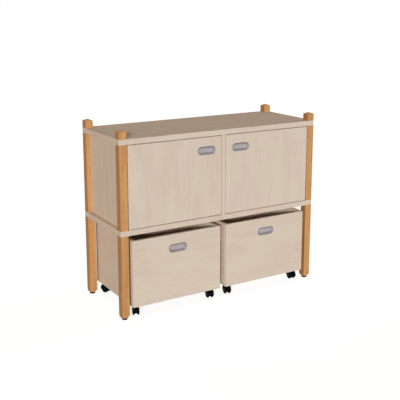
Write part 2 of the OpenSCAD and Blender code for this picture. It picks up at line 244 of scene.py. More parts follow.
def carve(piece, tool, how):
    """Cuts the piece with a tool body, or trims it to that body, and puts the tool away."""
    alone(piece)
    cut = piece.modifiers.new("cut", "BOOLEAN")
    cut.operation = how
    cut.object = tool
    cut.solver = "EXACT"
    bpy.ops.object.modifier_apply(modifier=cut.name)
    bpy.data.objects.remove(tool)
    bpy.ops.object.mode_set(mode="EDIT")
    bpy.ops.mesh.select_all(action="SELECT")
    bpy.ops.mesh.dissolve_degenerate(threshold=sliver)
    bpy.ops.object.mode_set(mode="OBJECT")


def smooth(piece, angle=35):
    """Rounded edges shade softly and flat faces stay flat."""
    alone(piece)
    bpy.ops.object.shade_smooth_by_angle(angle=math.radians(angle))
    even = piece.modifiers.new("even", "WEIGHTED_NORMAL")
    even.keep_sharp = True
    bpy.ops.object.modifier_apply(modifier=even.name)


def tint(red, green, blue):
    """A colour as it looks on paper, from 0 to 255, as the linear value that a shader takes."""
    linear = []
    for value in (red, green, blue):
        share = value / 255
        linear.append(share / 12.92 if share <= 0.04045 else ((share + 0.055) / 1.055) ** 2.4)
    return (*linear, 1)


def ramp(tree, value, stops):
    """Turns a pattern into colours, one for each stop."""
    node = wire(tree, "ShaderNodeValToRGB", {0: value})
    band = node.color_ramp
    while len(band.elements) < len(stops):
        band.elements.new(0.5)
    for element, (place, colour) in zip(band.elements, stops):
        element.position = place
        element.color = colour
    return node.outputs["Color"]


def blend_colours(tree, share, first, second, kind="MIX"):
    """Blends two colours. Sockets 6 and 7 of the node take colours, and its output 2 gives one."""
    inputs = {0: share, 6: first, 7: second}
    node = wire(tree, "ShaderNodeMix", inputs, data_type="RGBA", blend_type=kind)
    return node.outputs[2]


def stretched_noise(tree, grain, seed, across, along, detail, distortion=0.0):
    """Noise drawn out along the grain. across and along are the sizes of its features, in metres."""
    scale = [1 / across] * 3
    scale["XYZ".index(grain)] = 1 / along
    place = wire(tree, "ShaderNodeTexCoord", {}).outputs["Object"]
    drawn = wire(tree, "ShaderNodeMapping", {"Vector": place, "Scale": scale})
    inputs = {
        "Vector": drawn.outputs[0],
        "W": seed,
        "Scale": 1,
        "Detail": detail,
        "Distortion": distortion,
    }
    return wire(tree, "ShaderNodeTexNoise", inputs, noise_dimensions="4D").outputs[0]


def dress(tree, colour, roughness, relief, gloss):
    """Feeds the patterns of a finish to its shader, and sets how strongly it mirrors."""
    skin = tree.nodes["Principled BSDF"]
    skin.inputs["Specular IOR Level"].default_value = gloss
    tree.links.new(colour, skin.inputs["Base Color"])
    tree.links.new(roughness.outputs[0], skin.inputs["Roughness"])
    tree.links.new(relief.outputs[0], skin.inputs["Normal"])


streak_tones = [(0.30, tint(193, 140, 88)), (0.50, tint(203, 152, 99)), (0.70, tint(213, 165, 112))]
pore_tones = [(0.35, tint(232, 226, 220)), (0.60, white)]
fleck_mask = [(0.64, (0, 0, 0, 1)), (0.72, (0.35, 0.35, 0.35, 1))]
fleck_tone = tint(150, 96, 54)
# Painted shade: a tone multiplied onto the sides that face +X or -X, to darken them.
painted_side_shade = tint(209, 195, 175)


def beech(name, grain, seed):
    """Lacquered beech: warm streaks, fine pores and dark flecks, and painted shade on its X-facing sides.
    """
    wood = bpy.data.materials.new(name)
    wood.use_nodes = True
    tree = wood.node_tree
    streaks = stretched_noise(tree, grain, seed, across=0.016, along=0.30, detail=4, distortion=0.5)
    pores = stretched_noise(tree, grain, seed + 5, across=0.0014, along=0.030, detail=3)
    flecks = stretched_noise(tree, grain, seed + 9, across=0.0011, along=0.0045, detail=1)
    tone = ramp(tree, streaks, streak_tones)
    grained = blend_colours(tree, 1.0, tone, ramp(tree, pores, pore_tones), "MULTIPLY")
    flecked = blend_colours(tree, ramp(tree, flecks, fleck_mask), grained, fleck_tone)
    # Painted shade: the more a face turns to +X or -X, the more it takes the side shade tone.
    facing = wire(tree, "ShaderNodeTexCoord", {}).outputs["Normal"]
    sideways = wire(tree, "ShaderNodeSeparateXYZ", {0: facing}).outputs["X"]
    share = wire(tree, "ShaderNodeMath", {0: sideways}, operation="ABSOLUTE").outputs[0]
    colour = blend_colours(tree, share, flecked, painted_side_shade, "MULTIPLY")
    dull = wire(tree, "ShaderNodeMapRange", {"Value": pores, "To Min": 0.50, "To Max": 0.38})
    relief = wire(tree, "ShaderNodeBump", {"Height": pores, "Strength": 0.12, "Distance": 0.0002})
    dress(tree, colour, dull, relief, gloss=0.12)
    return wood


def give(piece, body, node):
    """Fixes a finished piece to its body, in place of the plain solid that it stands for."""
    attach(piece, body)
    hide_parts(node)


def leg(node, seed):
    """A squared bar, trimmed to a cone that widens upwards from the foot at 45 degrees."""
    low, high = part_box(node)
    bar = block(node + "_bar", low, high)
    round_edges(bar, runs_along(upright), post_rounding, steps=6)
    round_edges(bar, level_at(upright, high.z), end_chamfer, steps=1)
    height = high.z - low.z
    bpy.ops.mesh.primitive_cone_add(
        vertices=96,
        radius1=foot_radius,
        radius2=foot_radius + height,
        depth=height,
        location=(low + high) / 2,
    )
    carve(bar, bpy.context.object, "INTERSECT")
    smooth(bar)
    bar.data.materials.append(beech(node + "_beech", "Z", seed))
    give(bar, "root", node)


corners = ["front_left", "front_right", "rear_left", "rear_right"]
for number, corner in enumerate(corners):
    leg("leg_" + corner, seed=1.0 + number)


# Glides
# A dark plastic button with a rounded rim is pressed into the end of each leg.
# It lifts the wood off the floor and slides without marks.
glide_rim = 0.002
glide_waist = 0.0008
glide_step = 0.55  # the share of the height at which it draws in to the waist
glide_pin = 0.003
glide_pin_chamfer = 0.001
plastic_play = 0.06  # how far the roughness varies either way


def plastic(name, colour, roughness, mottle, gloss=0.35):
    """Moulded plastic: one colour with a faint mottle, and a fine grain in its gloss and relief."""
    made = bpy.data.materials.new(name)
    made.use_nodes = True
    tree = made.node_tree
    place = wire(tree, "ShaderNodeTexCoord", {}).outputs["Object"]
    cloud = wire(tree, "ShaderNodeTexNoise", {"Vector": place, "Scale": 60, "Detail": 3})
    grain = wire(tree, "ShaderNodeTexNoise", {"Vector": place, "Scale": 2200, "Detail": 2}).outputs[0]
    darker = [value * (1 - mottle) for value in colour[:3]] + [1]
    lighter = [min(1, value * (1 + mottle)) for value in colour[:3]] + [1]
    shade = ramp(tree, cloud.outputs[0], [(0.35, darker), (0.65, lighter)])
    spread = {"Value": grain, "To Min": roughness - plastic_play, "To Max": roughness + plastic_play}
    dull = wire(tree, "ShaderNodeMapRange", spread)
    relief = wire(tree, "ShaderNodeBump", {"Height": grain, "Strength": 0.05, "Distance": 0.0003})
    dress(tree, shade, dull, relief, gloss)
    return made


def turned(name, outline, steps, turn=None):
    """A body turned about the Z axis from its outline of (radius, height), then set in place."""
    bpy.ops.object.select_all(action="DESELECT")
    start = Vector((outline[0][0], 0, outline[0][1]))
    bpy.ops.mesh.primitive_plane_add(size=0.001, location=(0, 0, 0))
    piece = bpy.context.object
    piece.name = name
    bpy.ops.object.mode_set(mode="EDIT")
    bpy.ops.mesh.select_mode(type="VERT")
    bpy.ops.mesh.select_all(action="SELECT")
    bpy.ops.mesh.merge(type="CENTER")
    bpy.ops.transform.translate(value=start)
    for (radius, height), (last_radius, last_height) in zip(outline[1:], outline):
        step = (radius - last_radius, 0, height - last_height)
        bpy.ops.mesh.extrude_vertices_move(TRANSFORM_OT_translate={"value": step})
    bpy.ops.mesh.select_all(action="SELECT")
    bpy.ops.mesh.spin(steps=steps, angle=2 * math.pi, center=(0, 0, 0), axis=(0, 0, 1))
    bpy.ops.mesh.select_all(action="SELECT")
    bpy.ops.mesh.remove_doubles(threshold=same_place)
    bpy.ops.mesh.normals_make_consistent(inside=False)
    bpy.ops.object.mode_set(mode="OBJECT")
    if turn is not None:
        piece.matrix_world = turn
        bpy.ops.object.transform_apply(location=True, rotation=True, scale=True)
    return piece


def arc(centre_radius, centre_height, radius, first, last, steps):
    """Points of a round on an outline, between two angles in degrees."""
    points = []
    for step in range(steps + 1):
        angle = math.radians(first + (last - first) * step / steps)
        across = centre_radius + radius * math.cos(angle)
        points.append((across, centre_height + radius * math.sin(angle)))
    return points


def copied(piece, name, place):
    """A copy with its own mesh, placed by a matrix."""
    alone(piece)
    bpy.ops.object.duplicate(linked=False)
    twin = bpy.context.object
    twin.name = name
    twin.matrix_world = place
    bpy.ops.object.transform_apply(location=True, rotation=True, scale=True)
    return twin


def joined(name, parts):
    """Several bodies as one piece."""
    alone(parts[0])
    for part in parts:
        part.select_set(True)
    bpy.ops.object.join()
    piece = bpy.context.object
    piece.name = name
    return piece


def leg_centres():
    """The middle of every leg, on the floor."""
    centres = []
    for corner in corners:
        low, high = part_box("leg_" + corner)
        centres.append(Vector(((low.x + high.x) / 2, (low.y + high.y) / 2, 0)))
    return centres


def set_glides():
    """Turns one glide, and sets a copy of it under every leg."""
    low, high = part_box("glides")
    leg_low, leg_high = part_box("leg_front_left")
    height = leg_low.z
    radius = (leg_low.x + leg_high.x) / 2 - low.x
    waist = radius - glide_waist
    outline = [(0, 0), (radius - glide_rim, 0)]
    outline += arc(radius - glide_rim, glide_rim, glide_rim, first=-60, last=0, steps=3)
    outline += [(radius, height * glide_step), (waist, height * glide_step + glide_waist)]
    outline += [(waist, height), (glide_pin, height), (glide_pin, high.z - glide_pin_chamfer)]
    outline += [(glide_pin - glide_pin_chamfer, high.z), (0, high.z)]
    first = turned("glide", outline, steps=48)
    parts = [copied(first, "glide_copy", Matrix.Translation(centre)) for centre in leg_centres()]
    bpy.data.objects.remove(first)
    set_of_four = joined("leg_glides", parts)
    smooth(set_of_four)
    dark_plastic = plastic("glide_plastic_dark", tint(40, 27, 22), roughness=0.50, mottle=0.10, gloss=0.15)
    set_of_four.data.materials.append(dark_plastic)
    give(set_of_four, "root", "glides")


set_glides()


# Middle shelf and top board
# Both are 25 mm chipboard faced with a pale maple decor, with a matching band glued round the edge.
# The corners are rounded like the posts, and long studs clamp the boards between legs, posts and heads.
band_thickness = 0.002
board_rim = 0.0012
print_places = (0.34, 0.50, 0.66)
# The pale print is the decor itself. The next two are copies of it with painted shade.
pale_print = (tint(212, 195, 180), tint(214, 199, 184), tint(215, 203, 186))
# Painted shade: the warm print is the decor in a warmer, deeper tone, for lying and inner boards.
warm_shade_print = (tint(214, 188, 166), tint(214, 192, 169), tint(214, 195, 171))
# Painted shade: the side print is darker still, for boards and bands that face the sides.
side_shade_print = (tint(206, 182, 161), tint(207, 185, 164), tint(207, 189, 167))
vein_tones = [(0.34, tint(251, 250, 247)), (0.60, white)]
print_pore_tones = [(0.30, tint(250, 248, 246)), (0.50, white)]


def maple(name, grain, seed, print_tones):
    """Printed maple decor: broad soft streaks, faint flowing lines and a satin film over them."""
    decor = bpy.data.materials.new(name)
    decor.use_nodes = True
    tree = decor.node_tree
    broad = stretched_noise(tree, grain, seed, across=0.080, along=0.28, detail=2, distortion=1.2)
    lines = stretched_noise(tree, grain, seed + 3, across=0.013, along=0.30, detail=4, distortion=1.6)
    fine = stretched_noise(tree, grain, seed + 7, across=0.0010, along=0.035, detail=2)
    tone = ramp(tree, broad, list(zip(print_places, print_tones)))
    veined = blend_colours(tree, 1.0, tone, ramp(tree, lines, vein_tones), "MULTIPLY")
    colour = blend_colours(tree, 1.0, veined, ramp(tree, fine, print_pore_tones), "MULTIPLY")
    dull = wire(tree, "ShaderNodeMapRange", {"Value": fine, "To Min": 0.62, "To Max": 0.52})
    relief = wire(tree, "ShaderNodeBump", {"Height": fine, "Strength": 0.08, "Distance": 0.0001})
    dress(tree, colour, dull, relief, gloss=0.03)
    return decor


edge_bands = {
    "X": maple("maple_band_X", "X", 40.0, pale_print),
    # Painted shade: the bands along Y face the sides and take the darker side print.
    "Y": maple("maple_band_Y", "Y", 41.0, side_shade_print),
    "Z": maple("maple_band_Z", "Z", 42.0, pale_print),
}


def board_axes(low, high):
    """The axis through the thickness of a board, and the two axes that it lies along."""
    size = high - low
    thin = min(range(3), key=lambda axis: size[axis])
    return thin, [axis for axis in range(3) if axis != thin]


def from_rim(point, low, high, flat):
    """How far a point lies within the rim of a board, along each of its two flat axes."""
    return [min(point[axis] - low[axis], high[axis] - point[axis]) for axis in flat]


def face_and_band(piece, low, high, grain, seed, print_tones):
    """Gives the two broad faces the decor, and the rim a band whose grain runs along each side."""
    thin, flat = board_axes(low, high)
    piece.data.materials.append(maple(piece.name + "_decor", grain, seed, print_tones))
    for axis in flat:
        piece.data.materials.append(edge_bands["XYZ"[axis]])
    for face in piece.data.polygons:
        reach = from_rim(face.center, low, high, flat)
        if abs(face.normal[thin]) > straight and min(reach) > band_thickness / 2:
            face.material_index = 0
        elif reach[0] < reach[1]:
            face.material_index = 2
        else:
            face.material_index = 1


def board(node, rim, corner_radius=0.0):
    """A board with its band: the plan corners rounded, the band marked off and the rim eased."""
    low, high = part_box(node)
    thin, flat = board_axes(low, high)
    piece = block(node + "_panel", low, high)
    if corner_radius:
        round_edges(piece, runs_along(thin), corner_radius, steps=6)
    pick(piece, "FACE", lambda face: abs(face.normal[thin]) > straight)
    bpy.ops.mesh.inset(thickness=band_thickness, depth=0)
    bpy.ops.object.mode_set(mode="OBJECT")

    def outside(point):
        """Whether a point lies outside the line between decor and band."""
        return min(from_rim(point, low, high, flat)) < band_thickness * 0.9

    def on_rim(start, end):
        """Edges round a broad face, where it meets the rim."""
        same_side = abs(start[thin] - end[thin]) < same_place
        return same_side and outside(start) and outside(end)

    round_edges(piece, on_rim, rim, steps=3)
    return piece


def lay_board(node, grain, seed, body="root", rim=board_rim, corner_radius=0.0, tones=warm_shade_print):
    """A banded board in the place of its plain solid."""
    piece = board(node, rim, corner_radius)
    low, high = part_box(node)
    face_and_band(piece, low, high, grain, seed, tones)
    smooth(piece)
    give(piece, body, node)


# Painted shade: both boards take the warm print, the decor in a warmer, deeper tone.
lay_board("middle_shelf", "X", seed=11.0, corner_radius=post_rounding)
lay_board("top_board", "X", seed=12.0, corner_radius=post_rounding)


# Upper posts and post heads
# Beech bars like the legs stand between the two boards, one over each leg.
# A short head with a low pyramid closes each stack, and the stud through the top board holds it.
pyramid_drop = 0.008
ridge_rounding = 0.0006


def post(node, seed):
    """A squared bar, chamfered at both ends."""
    low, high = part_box(node)
    bar = block(node + "_bar", low, high)
    round_edges(bar, runs_along(upright), post_rounding, steps=6)
    for end in (low.z, high.z):
        round_edges(bar, level_at(upright, end), end_chamfer, steps=1)
    smooth(bar)
    bar.data.materials.append(beech(node + "_beech", "Z", seed))
    give(bar, "root", node)


def everything(*found):
    """Every edge or face."""
    return True


def head(name, low, high):
    """A bar whose top is planed off towards each side, down to the drop at its faces."""
    bar = block(name, low, high)
    half = (high.x - low.x) / 2
    apex = Vector(((low.x + high.x) / 2, (low.y + high.y) / 2, high.z))
    for side in ((1, 0), (-1, 0), (0, 1), (0, -1)):
        slope = Vector((side[0] * pyramid_drop, side[1] * pyramid_drop, half))
        pick(bar, "FACE", everything)
        bpy.ops.mesh.bisect(plane_co=apex, plane_no=slope, use_fill=True, clear_outer=True)
        bpy.ops.object.mode_set(mode="OBJECT")
    pick(bar, "EDGE", everything)
    bpy.ops.transform.edge_bevelweight(value=ridge_rounding / post_rounding)
    bpy.ops.object.mode_set(mode="OBJECT")
    pick(bar, "EDGE", runs_along(upright))
    bpy.ops.transform.edge_bevelweight(value=1)
    bpy.ops.object.mode_set(mode="OBJECT")
    rounding = bar.modifiers.new("rounding", "BEVEL")
    rounding.limit_method = "WEIGHT"
    rounding.width = post_rounding
    rounding.segments = 5
    rounding.use_clamp_overlap = False
    bpy.ops.object.modifier_apply(modifier=rounding.name)
    return bar


def set_heads():
    """One head over every leg, all of them as one piece."""
    low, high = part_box("post_heads")
    leg_low, leg_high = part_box("leg_front_left")
    half = (leg_high.x - leg_low.x) / 2
    parts = []
    for corner, centre in zip(corners, leg_centres()):
        foot = Vector((centre.x - half, centre.y - half, low.z))
        crown = Vector((centre.x + half, centre.y + half, high.z))
        parts.append(head("head_" + corner, foot, crown))
    heads = joined("pyramid_heads", parts)
    smooth(heads, angle=20)
    heads.data.materials.append(beech("head_beech", "Z", seed=9.0))
    give(heads, "root", "post_heads")


for number, corner in enumerate(corners):
    post("post_" + corner, seed=5.0 + number)
set_heads()


# Side panels, divider and back panel
# Upright boards between the shelf and the top board, with the same decor and their grain upright.
# The divider parts the two compartments, and its front edge shows between the doors.
side_rim = 0.0006
back_rim = 0.0004
# Painted shade: the side panels take the darker side print, the divider and back the warm print.
lay_board("side_panel_left", "Z", seed=14.0, rim=side_rim, tones=side_shade_print)
lay_board("side_panel_right", "Z", seed=15.0, rim=side_rim, tones=side_shade_print)
lay_board("divider", "Z", seed=16.0)
lay_board("back_panel", "Z", seed=17.0, rim=back_rim)


# Hidden fixings of the frame
# Zinc-plated studs join legs, posts and heads through the boards, and beech dowels hold the panels.
# The doors hang on steel pins in nylon bushes. All these keep the shape of their plain solids,
# because hardly anything of them shows once the cupboard is together.
steel_roughness = 0.35
steel_play = 0.1  # how far the roughness varies either way


def steel(name, darker, lighter):
    """Plated or blackened steel: a metal with a faint cloudy bloom in its colour and its gloss."""
    metal = bpy.data.materials.new(name)
    metal.use_nodes = True
    tree = metal.node_tree
    place = wire(tree, "ShaderNodeTexCoord", {}).outputs["Object"]
    bloom = wire(tree, "ShaderNodeTexNoise", {"Vector": place, "Scale": 180, "Detail": 4}).outputs[0]
    shade = ramp(tree, bloom, [(0.35, darker), (0.65, lighter)])
    low, high = steel_roughness - steel_play, steel_roughness + steel_play
    dull = wire(tree, "ShaderNodeMapRange", {"Value": bloom, "To Min": low, "To Max": high})
    skin = tree.nodes["Principled BSDF"]
    skin.inputs["Metallic"].default_value = 1.0
    tree.links.new(shade, skin.inputs["Base Color"])
    tree.links.new(dull.outputs[0], skin.inputs["Roughness"])
    return metal


def repaint(node, material):
    """Gives its finish to a plain solid that no modelled piece replaces."""
    solid = frame["nodes"][node]
    solid.data.materials.clear()
    solid.data.materials.append(material)


zinc_steel = steel("zinc_plated_steel", tint(176, 178, 182), tint(206, 208, 210))
white_nylon = plastic("white_nylon", tint(232, 231, 226), roughness=0.42, mottle=0.02)
beige_nylon = plastic("beige_nylon", tint(170, 152, 132), roughness=0.45, mottle=0.02)
repaint("connector_studs", zinc_steel)
repaint("panel_dowels", beech("dowel_beech", "Z", seed=21.0))
repaint("hinge_bushes", beige_nylon)
repaint("hinge_pins_left", zinc_steel)
repaint("hinge_pins_right", zinc_steel)


# Doors
# Inset doors of 19 mm board with the grain upright and a band on all four edges, each on two pins.
# A pocket is routed for the grip near the upper corner beside the divider.
door_rim = 0.0015
grip_corner = 0.0175
grip_corner_steps = 10
grip_flange = 0.004
pocket_play = 0.0003
router_lead = 0.01
inwards = 1  # the Y axis, from the front to the back


def rout_pocket(piece, grip_node):
    """Routs the round-ended pocket that the dish of the grip sits in."""
    low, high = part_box(grip_node)
    flange = grip_flange - pocket_play
    front = Vector((low.x + flange, low.y - router_lead, low.z + flange))
    back = Vector((high.x - flange, high.y + pocket_play, high.z - flange))
    tool = block("router", front, back)
    round_edges(tool, runs_along(inwards), grip_corner - flange, grip_corner_steps)
    carve(piece, tool, "DIFFERENCE")


def front_board(node, grip_node, body, grain, seed, rim):
    """A door, or the front of a box: a banded board with the pocket of its grip."""
    piece = board(node, rim)
    rout_pocket(piece, grip_node)
    low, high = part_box(node)
    face_and_band(piece, low, high, grain, seed, pale_print)
    smooth(piece)
    give(piece, body, node)


front_board("door_left", "door_grip_left", "door_left", "Z", seed=23.0, rim=door_rim)
front_board("door_right", "door_grip_right", "door_right", "Z", seed=24.0, rim=door_rim)


# Grips
# Moulded grey cup grips, pressed into a pocket: a raised rim lies on the face of the board,
# and a rounded dish behind it takes the fingertips. The same grip is used on doors and boxes.
grip_depth = 0.012
grip_plate = 0.0005
grip_rim_steps = [  # how far each step is let in from the one before, and how far it rises
    (0.0004, 0.0005),
    (0.0006, 0.0002),
    (0.0028, 0.0),
    (0.0005, -0.0003),
    (0.0005, -0.0009),
    (0.0014, -0.0036),
    (0.0016, -0.0028),
    (0.0016, -0.0018),
    (0.0016, -0.0006),
]
grip_back_steps = [(0.0012, 0.0012), (0.0014, 0.0006)]
dish_floor = 0.0088
dish_facing = 0.5


def cup_grip(low, high):
    """One grip: a round-cornered plate whose front is let in step by step to a dish."""
    face_y = high.y - grip_depth
    plate_low = Vector((low.x, face_y - grip_plate, low.z))
    grip = block("grip", plate_low, Vector((high.x, face_y, high.z)))
    round_edges(grip, runs_along(inwards), grip_corner, grip_corner_steps)
    pick(grip, "FACE", lambda face: face.normal.y < -straight)
    for width, rise in grip_rim_steps:
        bpy.ops.mesh.inset(thickness=width, depth=rise)
    bpy.ops.object.mode_set(mode="OBJECT")
    pick(grip, "FACE", lambda face: face.normal.y > straight and face.center.y > face_y - same_place)
    bpy.ops.mesh.inset(thickness=grip_flange, depth=0)
    depth = grip_depth - sum(rise for width, rise in grip_back_steps)
    bpy.ops.mesh.extrude_region_move(TRANSFORM_OT_translate={"value": (0, depth, 0)})
    for width, rise in grip_back_steps:
        bpy.ops.mesh.inset(thickness=width, depth=rise)
    bpy.ops.object.mode_set(mode="OBJECT")
    # Painted shade: the rim and the walls of the dish take a darker grey than the floor of the dish.
    rim_and_wall_shade = plastic("grip_rim_painted_shade", tint(150, 143, 144), roughness=0.42, mottle=0.03, gloss=0.2)
    dish_grey = plastic("grip_dish_grey", tint(170, 166, 170), roughness=0.38, mottle=0.02, gloss=0.3)
    grip.data.materials.append(rim_and_wall_shade)
    grip.data.materials.append(dish_grey)
    for face in grip.data.polygons:
        in_dish = face.normal.y < -dish_facing and face.center.y > face_y + dish_floor
        face.material_index = 1 if in_dish else 0
    smooth(grip, angle=50)
    return grip


first_low, first_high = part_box("door_grip_left")
first_grip = cup_grip(first_low, first_high)
grip_bodies = {
    "door_grip_left": "door_left",
    "door_grip_right": "door_right",
    "left_box_grip": "left_box",
    "right_box_grip": "right_box",
}
for node, body in grip_bodies.items():
    move = Matrix.Translation(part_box(node)[0] - first_low)
    give(copied(first_grip, node + "_cup", move), body, node)
bpy.data.objects.remove(first_grip)


# Door catches and strike plates
# A white magnetic catch is screwed under the top board behind each door, near the divider.
# A thin zinc-plated plate on the back of the door meets its two steel poles.
catch_length = 0.046
catch_rounding = 0.0012
catch_wall = 0.0016
catch_draft = 0.0003
catch_recess = 0.0030
pole_half_width = 0.016
pole_thickness = 0.0012
pole_offset = 0.0028
pole_chamfer = 0.0003
pole_sunk = 0.0002
magnet_half_height = 0.0022
magnet_sunk = 0.0006
magnet_black = plastic("ferrite_black", tint(38, 37, 38), roughness=0.6, mottle=0.08)


def catch(low, high):
    """The catch body with a sunk front, and the magnet between its two pole plates."""
    body = block("catch_body", low, high)
    round_edges(body, everything, catch_rounding, steps=3)
    pick(body, "FACE", lambda face: face.normal.y < -straight)
    bpy.ops.mesh.inset(thickness=catch_wall, depth=0)
    bpy.ops.mesh.inset(thickness=catch_draft, depth=-catch_recess)
    bpy.ops.object.mode_set(mode="OBJECT")
    smooth(body)
    body.data.materials.append(white_nylon)
    middle = (low + high) / 2
    reach = Vector((pole_half_width, 0, 0))
    front = low.y + pole_sunk
    parts = [body]
    for side in (-1, 1):
        centre = middle.z + side * pole_offset
        foot = Vector((middle.x, front, centre - pole_thickness / 2)) - reach
        crown = Vector((middle.x, middle.y, centre + pole_thickness / 2)) + reach
        pole = block("catch_pole", foot, crown)
        round_edges(pole, runs_along(inwards), pole_chamfer, steps=1)
        pole.data.materials.append(zinc_steel)
        parts.append(pole)
    foot = Vector((middle.x, front + magnet_sunk, middle.z - magnet_half_height)) - reach
    crown = Vector((middle.x, middle.y, middle.z + magnet_half_height)) + reach
    magnet = block("catch_magnet", foot, crown)
    magnet.data.materials.append(magnet_black)
    parts.append(magnet)
    return joined("catch", parts)


def set_catches():
    """A catch at each end of the plain solids' box, both of them as one piece."""
    low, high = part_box("magnetic_catches")
    left = catch(low, Vector((low.x + catch_length, high.y, high.z)))
    shift = Matrix.Translation((high.x - catch_length - low.x, 0, 0))
    right = copied(left, "catch_right", shift)
    both = joined("door_catches", [left, right])
    give(both, "root", "magnetic_catches")


strike_corner = 0.0025
strike_rim = 0.0004
strike_screw_offset = 0.013
strike_screw_outline = [  # radius, and height over the plate
    (0, -0.0003),
    (0.0006, -0.0003),
    (0.0008, 0),
    (0.0022, 0),
    (0.0026, -0.0004),
    (0, -0.0010),
]


def strike(side):
    """A plate with rounded corners and a countersunk screw at each end."""
    low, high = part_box("strike_plate_" + side)
    plate = block("strike_" + side, low, high)
    round_edges(plate, runs_along(inwards), strike_corner, steps=4)
    round_edges(plate, level_at(inwards, high.y), strike_rim, steps=2)
    middle = (low + high) / 2
    face_back = Matrix.Rotation(math.radians(-90), 4, "X")
    parts = [plate]
    for end in (-1, 1):
        place = Matrix.Translation((middle.x + end * strike_screw_offset, high.y, middle.z))
        parts.append(turned("strike_screw", strike_screw_outline, steps=20, turn=place @ face_back))
    made = joined("door_strike_" + side, parts)
    smooth(made)
    made.data.materials.append(zinc_steel)
    give(made, "door_" + side, "strike_plate_" + side)


set_catches()
strike("left")
strike("right")


# Rolling boxes
# Five boards of 16 mm, banded all round: the front and back run over the ends of the sides,
# and the bottom is let in between them. The grain of front, back and sides lies level.
box_rim = 0.0012
bottom_rim = 0.0004


def build_box(name, seed):
    """One box, each board with a pattern of its own."""
    lay_board(name + "_back", "X", seed, name, box_rim)
    # Painted shade: the two sides take the darker side print, and back and bottom the warm print.
    lay_board(name + "_left_side", "Y", seed + 1, name, box_rim, tones=side_shade_print)
    lay_board(name + "_right_side", "Y", seed + 2, name, box_rim, tones=side_shade_print)
    lay_board(name + "_bottom", "X", seed + 3, name, bottom_rim)
    front_board(name + "_front", name + "_grip", name, "X", seed + 4, box_rim)


build_box("left_box", seed=30.0)
build_box("right_box", seed=35.0)


# Caster plates and screws
# A square zinc-plated plate carries each caster on a riveted pin, under a corner of the box.
# Four pan-head screws with a cross recess hold it to the bottom board.
plate_side = 0.038
plate_thickness = 0.0025
plate_corner = 0.004
plate_rim = 0.0005
pin_radius = 0.003
pin_drop = 0.016
screw_spacing = 0.026
screw_head_radius = 0.0035
screw_head_height = 0.0018
# Radius, and rise from the tip of the head.
screw_dome = [(0, 0), (0.0016, 0.00008), (0.0027, 0.0004), (0.0033, 0.0009), (screw_head_radius, 0.0014)]
shank_radius = 0.0016
point_radius = 0.0003
point_length = 0.0015
recess_reach = 0.0019
recess_half_width = 0.0004
recess_depth = 0.0011
bit_lead = 0.001


def swivels(box):
    """For each caster of a box, the spot on the floor under its pin, and how far it is turned."""
    found = {}
    for joint in frame["joints"]:
        for corner in corners:
            if joint["name"] == f"{box}_swivel_{corner}_turn":
                x, y = joint["pos_m"][:2]
                found.setdefault(corner, {})["spot"] = Vector((x, y, 0))
            if joint["name"] == f"{box}_wheel_{corner}_roll":
                axle = joint["axis"]
                found.setdefault(corner, {})["turn"] = math.atan2(axle[1], axle[0])
    return found


def caster_plate(top):
    """One plate over the origin, with the pin that the caster turns on."""
    half = plate_side / 2
    low = Vector((-half, -half, top - plate_thickness))
    plate = block("plate", low, Vector((half, half, top)))
    round_edges(plate, runs_along(upright), plate_corner, steps=5)
    round_edges(plate, level_at(upright, low.z), plate_rim, steps=2)
    pin_foot = low.z - pin_drop
    outline = [(0, pin_foot), (pin_radius, pin_foot), (pin_radius, low.z), (0, low.z)]
    pin = turned("pin", outline, steps=24)
    return joined("caster_plate", [plate, pin])


def pan_head_screw(face, end):
    """One screw over the origin, head down, with a cross recess in its domed head."""
    tip = face - screw_head_height
    outline = [(radius, tip + rise) for radius, rise in screw_dome]
    outline += [(screw_head_radius, face), (shank_radius, face), (shank_radius, end - point_length)]
    outline += [(point_radius, end), (0, end)]
    screw = turned("screw", outline, steps=24)
    for along, across in ((recess_reach, recess_half_width), (recess_half_width, recess_reach)):
        bit_low = Vector((-along, -across, tip - bit_lead))
        bit_high = Vector((along, across, tip + recess_depth))
        carve(screw, block("bit", bit_low, bit_high), "DIFFERENCE")
    return screw


def set_plates(box):
    """A plate and four screws at every caster of a box. The screws are driven home at odd turns."""
    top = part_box(box + "_bottom")[0].z
    plate = caster_plate(top)
    screw = pan_head_screw(top - plate_thickness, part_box(box + "_caster_screws")[1].z)
    plates = []
    screws = []
    for swivel in swivels(box).values():
        spot = swivel["spot"]
        plates.append(copied(plate, "plate_copy", Matrix.Translation(spot)))
        for x in (-1, 1):
            for y in (-1, 1):
                offset = spot + Vector((x, y, 0)) * screw_spacing / 2
                turn = Matrix.Rotation(0.7 * x + 1.1 * y + spot.x * 9, 4, "Z")
                screws.append(copied(screw, "screw_copy", Matrix.Translation(offset) @ turn))
    bpy.data.objects.remove(plate)
    bpy.data.objects.remove(screw)
    for name, parts in (("plates", plates), ("screws", screws)):
        group = joined(f"{box}_fixing_{name}", parts)
        smooth(group)
        group.data.materials.append(zinc_steel)
        give(group, box, f"{box}_caster_{name}")


set_plates("left_box")
set_plates("right_box")


# Caster housings
# Black nylon hoods: a mudguard curves over both wheels from a web between them,
# and a neck rises from the web to the pin in the plate.
wheel_radius = 0.020
trail = 0.012
caster_half_width = 0.015
guard_inside = 0.021
guard_outside = 0.024
guard_drop = 0.006
guard_easing = 0.0009
web_half = 0.0055
web_overlap = 0.0006
web_easing = 0.0006
neck_foot = 0.024
neck_waist = 0.0054
neck_flare = (0.0352, 0.0380)
neck_radius = 0.007
neck_clearance = 0.0003
# How far each step of the collar stands out from the neck, and how far it lies below the top.
collar_steps = [(0, 0.0022), (0.0012, 0.0016), (0.0012, 0.0004), (0.0008, 0)]
nylon_black = plastic("nylon_black", tint(6, 5, 6), roughness=0.48, mottle=0.12, gloss=0.03)


